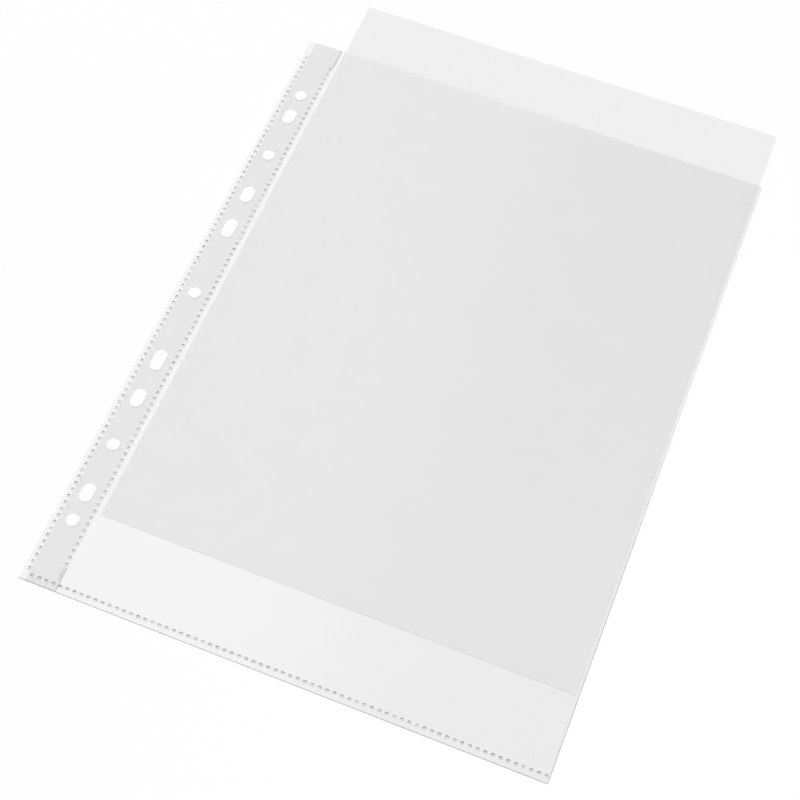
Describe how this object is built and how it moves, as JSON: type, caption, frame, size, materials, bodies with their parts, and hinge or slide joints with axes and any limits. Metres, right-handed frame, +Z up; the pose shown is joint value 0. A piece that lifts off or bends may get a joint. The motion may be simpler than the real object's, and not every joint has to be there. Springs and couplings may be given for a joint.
{
  "type": "sheet protector",
  "caption": "Clear punched pocket for a binder: folded film with a reinforced margin of ring holes, stitch-welded edges, an open mouth and a paper sheet that slides out.",
  "frame": {"origin": "centre of the middle ring hole, on the rear face that the pocket lies on", "axes": "+X from the ring holes to the folded edge, +Y along the row of holes to the open mouth, +Z up through the stack"},
  "size_m": [0.2304, 0.3348, 0.0006],
  "materials": {
    "clear_film": "clear polypropylene film, lightly grained",
    "milky_strip": "milky polypropylene ribbon",
    "weld": "melted film",
    "paper": "plain uncoated paper"
  },
  "bodies": {
    "pocket": {"rear_film": "clear_film", "front_film": "clear_film", "fold_edge": "clear_film", "binding_strip": "milky_strip", "outer_weld": "weld", "inner_weld": "weld", "bottom_weld": "weld"},
    "sheet": {"paper_sheet": "paper"}
  },
  "joints": [
    {"name": "sheet_slide", "type": "slide", "parent": "pocket", "child": "sheet", "axis": [0, 1, 0], "range_m": [-0.0338, 0.27]}
  ]
}
